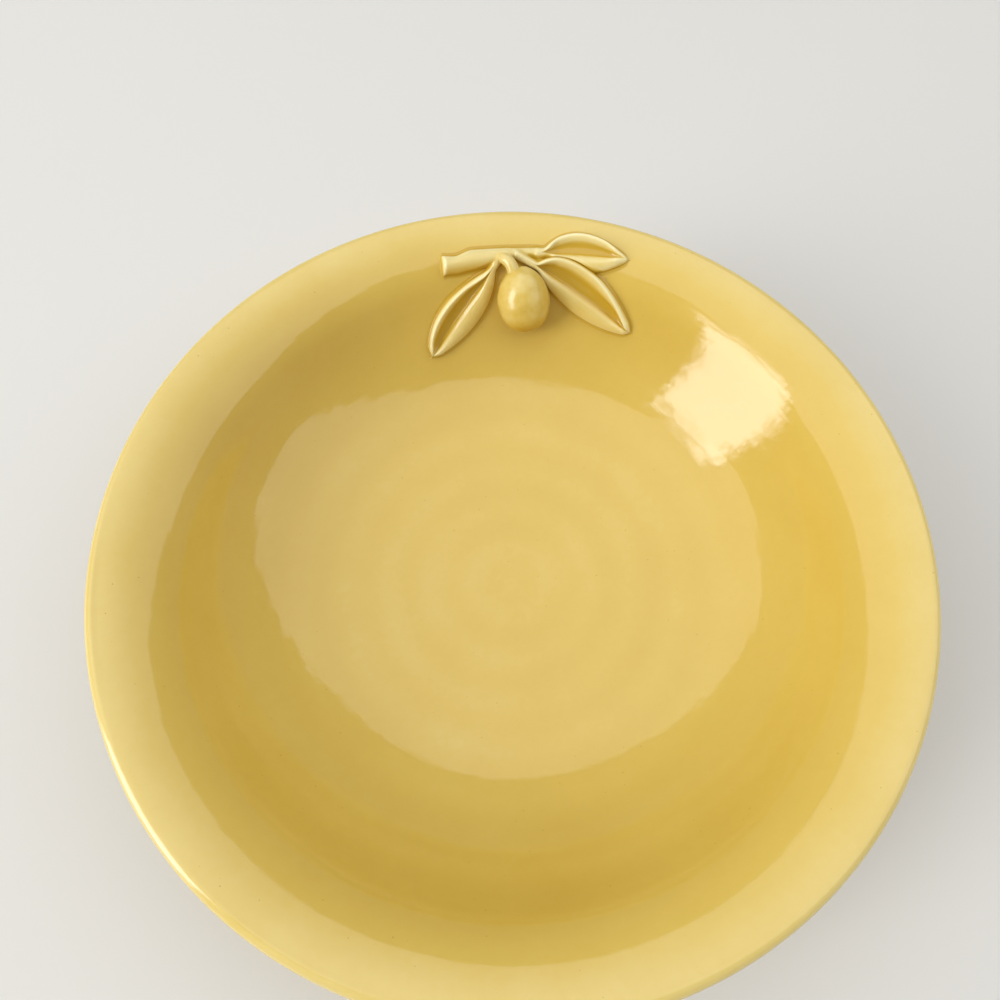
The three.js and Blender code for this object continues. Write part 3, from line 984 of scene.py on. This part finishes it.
rises = np.linspace(0, np.pi, OLIVE_RISES)[:, None]
olive_turns = np.linspace(0, 2 * np.pi, OLIVE_TURNS, endpoint=False)
ring_radius = OLIVE_DIAMETER / 2 * np.sin(rises) * (1 + OLIVE_HEAVY * np.cos(rises))
olive_rings = np.stack([
    ring_radius * np.sin(olive_turns),
    np.repeat(-OLIVE_LENGTH / 2 * np.cos(rises), OLIVE_TURNS, axis=1),
    ring_radius * np.cos(olive_turns),
], axis=-1)
olive_noise = np.array([
    noise.fractal(Vector(point) / OLIVE_UNEVEN_SIZE, OLIVE_SMOOTHNESS, OLIVE_FINER, OLIVE_OCTAVES)
    for point in olive_rings.reshape(-1, 3)
])
swell = 1 + OLIVE_UNEVEN / (OLIVE_DIAMETER / 2) * olive_noise.reshape(olive_rings.shape[:2])
olive_rings = olive_rings * swell[..., None]
print(f"the hand left up to {(swell.max() - 1) * OLIVE_DIAMETER / 2 / MM:.2f} mm on the olive")

# %% Glaze the olive, with painted shade on its lower end
OLIVE_GLAZE = -0.1
OLIVE_POOL = 0.7
# The olive's lower end is darker: glaze that ran down and painted shade.
OLIVE_RUN_AND_SHADE = 1.0
OLIVE_RUN_AND_SHADE_START = 0.3

off_wall = olive_rings[..., 2] + OLIVE_LIFT
towards_floor = -olive_rings[..., 1] / (OLIVE_LENGTH / 2)
pool_at_wall = OLIVE_POOL * (1 - ease(off_wall, 0, OLIVE_LIFT))
# Darker towards the lower end: glaze that ran down and painted shade.
run_and_shade_to_tip = OLIVE_RUN_AND_SHADE * ease(towards_floor, OLIVE_RUN_AND_SHADE_START, 1)
olive_glaze_and_shade = OLIVE_GLAZE + pool_at_wall + run_and_shade_to_tip
olive = skin("olive_fruit", as_olive_lies(olive_rings), olive_glaze_and_shade)
install(olive, "olive", "olive_glaze")

# %% The stalk's middle line
STALK_LIFT = 1.3 * MM
STALK_FOOT = np.array([-2.9, 0.1]) * MM
STALK_BEND = np.array([4.7, 0.1]) * MM
STALK_BEND_LIFT = 8.8 * MM
STALK_SINK = 4.5 * MM
STALK_ASIDE = -2.6 * MM
STALK_OUT = -0.5 * MM
STALK_STEPS = 40

stalk_start = on_wall(*(stalk_root + STALK_FOOT), STALK_LIFT)
stalk_bend = on_wall(*(stalk_root + STALK_BEND), STALK_BEND_LIFT)
stalk_end = as_olive_lies(np.array([STALK_ASIDE, OLIVE_LENGTH / 2 - STALK_SINK, STALK_OUT]))
stalk_share = np.linspace(0, 1, STALK_STEPS)[:, None]
stalk_line = (
    (1 - stalk_share) ** 2 * stalk_start
    + 2 * stalk_share * (1 - stalk_share) * stalk_bend
    + stalk_share**2 * stalk_end
)
stalk_ahead = np.gradient(stalk_line, axis=0)
stalk_ahead /= np.linalg.norm(stalk_ahead, axis=1, keepdims=True)
stalk_side = np.cross(stalk_end - stalk_start, stalk_bend - stalk_start)
stalk_side /= np.linalg.norm(stalk_side)
stalk_up = np.cross(stalk_side, stalk_ahead)
print(f"the stalk spans {np.linalg.norm(stalk_end - stalk_start) / MM:.1f} mm")

# %% Bend the stalk
STALK_DIAMETER = 5 * MM
STALK_SIDES = 36
STALK_FLARE = 0.3
STALK_FLARE_POWER = 4
STALK_SLIM = 0.5
STALK_SWELL_END = 0.35
STALK_GLAZE = -0.3

stalk_angle = np.linspace(0, 2 * np.pi, STALK_SIDES, endpoint=False)
stalk_swell = STALK_SLIM + (1 - STALK_SLIM) * ease(stalk_share, 0, STALK_SWELL_END)
stalk_flare = 1 + STALK_FLARE * stalk_share**STALK_FLARE_POWER
stalk_radius = STALK_DIAMETER / 2 * stalk_swell * stalk_flare
stalk_radius[[0, -1]] = 0
circle = (
    np.cos(stalk_angle)[None, :, None] * stalk_side
    + np.sin(stalk_angle)[None, :, None] * stalk_up[:, None, :]
)
stalk_rings = stalk_line[:, None, :] + stalk_radius[:, :, None] * circle
stalk = skin("olive_stem", stalk_rings, np.full(stalk_rings.shape[:2], STALK_GLAZE))
install(stalk, "olive_stalk", "relief_glaze")

# %% [markdown]
# ## The glaze
#
# A honey glaze is tinted glass. Where it lies thin, on a crest or on the lip, the pale clay shows
# through and it looks like cream. Where it pools it turns to ochre. On the sprig the crests are
# painted paler still, as a painted highlight, and the ochre in its hollows, along its foot and on
# the twig's lower flank is partly painted shade; the olive's darker lower end is glaze that ran
# down and painted shade. The colours could come from painted pictures, but those need unwrapped
# meshes and go stale when a shape is changed. The material reads the depth that each mesh
# carries, adds the slow mottling and the small pinholes of a hand-dipped glaze, and turns the sum
# into a colour with a ramp.

# %% Helpers for nodes
def add_node(tree, kind, sockets=None, **settings):
    """A new shader node. Sockets take a plain value, or another node's output to link."""
    node = tree.nodes.new("ShaderNode" + kind)
    for setting, value in settings.items():
        setattr(node, setting, value)
    for socket, value in (sockets or {}).items():
        if isinstance(value, bpy.types.NodeSocket):
            tree.links.new(value, node.inputs[socket])
        else:
            node.inputs[socket].default_value = value
    return node


def math_node(tree, operation, *values):
    """The result of a Math node on these values."""
    return add_node(tree, "Math", dict(enumerate(values)), operation=operation).outputs[0]


def noise_node(tree, place, scale, detail):
    """The grey value of a Noise Texture."""
    sockets = {"Vector": place, "Scale": scale, "Detail": detail}
    return add_node(tree, "TexNoise", sockets).outputs["Fac"]


def fresh_material(name):
    """An empty node material, its tree and its output node."""
    material = bpy.data.materials.new(name)
    material.use_nodes = True
    tree = material.node_tree
    tree.nodes.clear()
    return material, tree, tree.nodes.new("ShaderNodeOutputMaterial")


# %% How the colour follows the depth
THIN = (0.88, 0.74, 0.33, 1)
HONEY = (0.72, 0.515, 0.107, 1)
# The ochre end of the ramp is pooled glaze, and on the sprig and the olive also painted shade.
POOLED_AND_SHADED = (0.58, 0.36, 0.03, 1)
DEPTH_WEIGHT = 0.5
RAMP_MIDDLE = 0.5
NOISE_MEAN = 0.5
GRAIN_SCALE = 320
GRAIN_SHARE = 1 / 3
FINE_DETAIL = 2.0


def blotch(tree, grey, strength):
    """What a noise adds to the depth: it swings about 0 with this strength."""
    return math_node(tree, "MULTIPLY", math_node(tree, "SUBTRACT", grey, NOISE_MEAN), strength)


def glaze_colour(tree, place, blotches, mottle, thin):
    """Pale where the glaze is thin, ochre where it pools, and a little mottled."""
    depth = add_node(tree, "Attribute", attribute_name=GLAZE_AND_SHADE_ATTRIBUTE).outputs["Fac"]
    level = math_node(tree, "ADD", math_node(tree, "MULTIPLY", depth, DEPTH_WEIGHT), RAMP_MIDDLE)
    grain = noise_node(tree, place, GRAIN_SCALE, FINE_DETAIL)
    mottling = blotch(tree, blotches, mottle)
    graining = blotch(tree, grain, mottle * GRAIN_SHARE)
    level = math_node(tree, "ADD", level, math_node(tree, "ADD", mottling, graining))
    ramp = add_node(tree, "ValToRGB", {"Fac": level})
    ramp.color_ramp.elements[0].color = thin
    ramp.color_ramp.elements[1].color = POOLED_AND_SHADED
    ramp.color_ramp.elements.new(RAMP_MIDDLE).color = HONEY
    return ramp.outputs["Color"]


print(f"the ramp ends at depths of {-RAMP_MIDDLE / DEPTH_WEIGHT} and {RAMP_MIDDLE / DEPTH_WEIGHT}")

# %% Pinholes
PINHOLE = (0.52, 0.34, 0.06, 1)
PINHOLE_SCALE = 300
PINHOLE_SIZE = 0.075
PINHOLE_FREE = 0.4
# A Mix node keeps its colour sockets after those for numbers and vectors.
MIX_SHARE = 0
MIX_FIRST = 6
MIX_SECOND = 7
MIX_RESULT = 2


def with_pinholes(tree, place, colour):
    """The colour with small dark specks: one in each cell of a Voronoi pattern, but for some cells."""
    cells = add_node(tree, "TexVoronoi", {"Vector": place, "Scale": PINHOLE_SCALE})
    chance = add_node(tree, "SeparateColor", {"Color": cells.outputs["Color"]}).outputs
    size = math_node(tree, "MULTIPLY", chance["Green"], PINHOLE_SIZE)
    near = math_node(tree, "LESS_THAN", cells.outputs["Distance"], size)
    chosen = math_node(tree, "GREATER_THAN", chance["Red"], PINHOLE_FREE)
    pinhole = math_node(tree, "MULTIPLY", near, chosen)
    sockets = {MIX_SHARE: pinhole, MIX_FIRST: colour, MIX_SECOND: PINHOLE}
    return add_node(tree, "Mix", sockets, data_type="RGBA").outputs[MIX_RESULT]


print(f"the largest pinholes are {2 * PINHOLE_SIZE / PINHOLE_SCALE / MM:.1f} mm wide")

# %% Mix the glazes
# The relief's thin colour is paler than the bowl's: a painted highlight on its crests.
THIN_AND_HIGHLIGHT_ON_RELIEF = (0.93, 0.83, 0.44, 1)
CLAY = (0.7, 0.55, 0.38, 1)
MOTTLE = 0.22
MOTTLE_SCALE = 28
MOTTLE_DETAIL = 4.0
OLIVE_MOTTLE = 0.7
OLIVE_MOTTLE_SCALE = 130
GLOSSY = (0.05, 0.1)
SATIN = (0.12, 0.3)
WIPED = (0.25, 0.4)
GLAZE_IOR = 1.58
RIPPLE_SCALE = 120
RIPPLE_HEIGHT = 0.1 * MM


def mix_glaze(name, thin=THIN, mottle=MOTTLE, mottle_scale=MOTTLE_SCALE, roughness=GLOSSY):
    """A glaze whose colour follows its depth, with roughness between these two values."""
    material, tree, output = fresh_material(name)
    place = add_node(tree, "TexCoord").outputs["Object"]
    blotches = noise_node(tree, place, mottle_scale, MOTTLE_DETAIL)
    colour = glaze_colour(tree, place, blotches, mottle, thin)
    smoothest, roughest = roughness
    gloss = add_node(tree, "MapRange", {"Value": blotches, "To Min": smoothest, "To Max": roughest})
    ripple = noise_node(tree, place, RIPPLE_SCALE, FINE_DETAIL)
    bump = add_node(tree, "Bump", {"Height": ripple, "Strength": 1.0, "Distance": RIPPLE_HEIGHT})
    shader = add_node(tree, "BsdfPrincipled", {
        "Base Color": with_pinholes(tree, place, colour),
        "Roughness": gloss.outputs["Result"],
        "IOR": GLAZE_IOR,
        "Normal": bump.outputs["Normal"],
    })
    tree.links.new(shader.outputs["BSDF"], output.inputs["Surface"])
    return material


finishes = {
    "bowl_glaze": mix_glaze("bowl_honey_glaze"),
    "relief_glaze": mix_glaze("relief_honey_glaze_and_highlight", thin=THIN_AND_HIGHLIGHT_ON_RELIEF),
    "olive_glaze": mix_glaze("olive_honey_glaze", THIN, OLIVE_MOTTLE, OLIVE_MOTTLE_SCALE, SATIN),
    "foot_glaze": mix_glaze("foot_honey_glaze", thin=CLAY, roughness=WIPED),
}
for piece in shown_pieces():
    piece.data.materials.clear()
    piece.data.materials.append(finishes[piece["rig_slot"]])
    print(piece.name, "gets", piece.data.materials[0].name)

# %% [markdown]
# ## Floor, light and camera
#
# The bowl stands on a plain pale floor that sweeps up into a backdrop, under two softboxes: a wide
# one overhead and a tall one at the side. A glossy bowl mirrors its light. The wide softbox shows
# as the pale oval on the bowl's floor and as the bright band round the rim, the tall one as a patch
# of glare, and the dim room shows in the wall between them. A sun lamp would leave one hard dot. So
# each softbox has the size and place that put its mirror image where it is on the real bowl.

# %% Floor
FLOOR_RADIUS = 2.9
COVE_RADIUS = 1.2
COVE_STEPS = 32
BACKDROP_HEIGHT = 3.0
FLOOR_COLOUR = (0.74, 0.73, 0.70, 1)
FLOOR_ROUGHNESS = 0.9

cove = quarter([FLOOR_RADIUS, COVE_RADIUS], COVE_RADIUS, -np.pi / 2, COVE_STEPS)
studio_section = np.vstack([[0, 0], cove, [FLOOR_RADIUS + COVE_RADIUS, BACKDROP_HEIGHT]])
studio_rings = spun(studio_section)
floor = skin("pale_floor", studio_rings, np.zeros(studio_rings.shape[:2]))
floor_paint, tree, output = fresh_material("pale_floor_paint")
shader = add_node(tree, "BsdfPrincipled", {"Base Color": FLOOR_COLOUR, "Roughness": FLOOR_ROUGHNESS})
tree.links.new(shader.outputs["BSDF"], output.inputs["Surface"])
floor.data.materials.append(floor_paint)
print(f"the floor is flat for {FLOOR_RADIUS} m all round")

# %% Let a softbox fade at its edge
CLOTH_SCALE = 3.5
CLOTH_DETAIL = 3.0
CLOTH_MEAN = 0.62


@dataclass
class Softbox:
    """A rectangular lamp whose cloth hangs a little unevenly and fades towards its edge."""

    name: str
    width: float
    length: float
    place: tuple
    aim: tuple
    turn: float
    brightness: float
    ragged: float
    side_fade: float
    foot_fade: float
    head_fade: float
    corner: float


def soften(tree, box, softbox):
    """Dim the lamp by how near a spot on its cloth is to the edge."""
    spot = add_node(tree, "TexCoord", object=box).outputs["Object"]
    axes = add_node(tree, "SeparateXYZ", {"Vector": spot}).outputs
    off_middle = math_node(tree, "ABSOLUTE", axes["X"])
    from_side = math_node(tree, "SUBTRACT", softbox.width / 2, off_middle)
    from_foot = math_node(tree, "ADD", axes["Y"], softbox.length / 2)
    from_foot = math_node(tree, "MULTIPLY", from_foot, softbox.side_fade / softbox.foot_fade)
    from_head = math_node(tree, "SUBTRACT", softbox.length / 2, axes["Y"])
    from_head = math_node(tree, "MULTIPLY", from_head, softbox.side_fade / softbox.head_fade)
    from_end = math_node(tree, "MINIMUM", from_foot, from_head)
    nearest = math_node(tree, "SMOOTH_MIN", from_side, from_end, softbox.corner)
    cloth = noise_node(tree, spot, CLOTH_SCALE, CLOTH_DETAIL)
    sag = math_node(tree, "MULTIPLY", math_node(tree, "SUBTRACT", cloth, CLOTH_MEAN), softbox.ragged)
    margin = math_node(tree, "ADD", nearest, sag)
    sockets = {"Value": margin, "From Min": 0.0, "From Max": softbox.side_fade}
    fade = add_node(tree, "MapRange", sockets, interpolation_type="SMOOTHSTEP")
    tree.links.new(fade.outputs["Result"], tree.nodes["Emission"].inputs["Strength"])


# %% Hang the softboxes
def hang(softbox):
    """Hang a softbox that looks this bright in its middle, wherever it is mirrored."""
    lamp = bpy.data.lights.new(softbox.name, "AREA")
    lamp.shape = "RECTANGLE"
    lamp.size = softbox.width
    lamp.size_y = softbox.length
    lamp.energy = softbox.brightness * math.pi * softbox.width * softbox.length
    box = bpy.data.objects.new(softbox.name, lamp)
    box.location = softbox.place
    look = Vector(softbox.aim) - Vector(softbox.place)
    box.rotation_euler = look.to_track_quat("-Z", "Y").to_euler()
    box.rotation_euler.z += softbox.turn
    box.visible_camera = False
    bpy.context.scene.collection.objects.link(box)
    lamp.use_nodes = True
    soften(lamp.node_tree, box, softbox)
    print(f"{softbox.name}: {lamp.energy:.0f} W")


hang(Softbox(
    name="overhead_softbox",
    width=6.2,
    length=2.3,
    place=(0.45, 0.28, 1.57),
    aim=(0.45, 0.28, 0),
    turn=math.radians(-7),
    brightness=1.13,
    ragged=0.4,
    side_fade=0.1,
    foot_fade=0.1,
    head_fade=0.1,
    corner=1.6,
))
hang(Softbox(
    name="side_softbox",
    width=1.2,
    length=3.0,
    place=(-1.83, -0.81, 1.42),
    aim=(0, 0, 1.42),
    turn=0.0,
    brightness=6.7,
    ragged=0.36,
    side_fade=0.2,
    foot_fade=0.3,
    head_fade=1.2,
    corner=0.0,
))

# %% The dim room
ROOM_COLOUR = (1, 1, 1, 1)
ROOM_BRIGHTNESS = 0.22

world = bpy.data.worlds.new("dim_room")
world.use_nodes = True
room = world.node_tree.nodes["Background"].inputs
room["Color"].default_value = ROOM_COLOUR
room["Strength"].default_value = ROOM_BRIGHTNESS
bpy.context.scene.world = world
print("the room's brightness is", ROOM_BRIGHTNESS)

# %% Camera
CAMERA_OVER_RIM = 259.9 * MM
CAMERA_PLACE = (-4.7 * MM, -101.25 * MM, rim_top + CAMERA_OVER_RIM)
CAMERA_TILT = math.radians(23.615)
CAMERA_ROLL = math.radians(0.51)
CAMERA_SENSOR = 36
CAMERA_FOCAL_PIXELS = 785
CAMERA_NEAREST = 0.01
PHOTO_PIXELS = 1000

lens = bpy.data.cameras.new("camera")
lens.sensor_width = CAMERA_SENSOR
lens.lens = CAMERA_FOCAL_PIXELS * CAMERA_SENSOR / PHOTO_PIXELS
lens.clip_start = CAMERA_NEAREST
camera = bpy.data.objects.new("camera", lens)
camera.location = CAMERA_PLACE
camera.rotation_mode = "ZYX"
camera.rotation_euler = (CAMERA_TILT, 0, CAMERA_ROLL)
bpy.context.scene.collection.objects.link(camera)
bpy.context.scene.camera = camera
bpy.context.scene.view_settings.view_transform = "Standard"
print(f"lens {lens.lens:.1f} mm, {CAMERA_OVER_RIM / MM:.0f} mm over the rim")
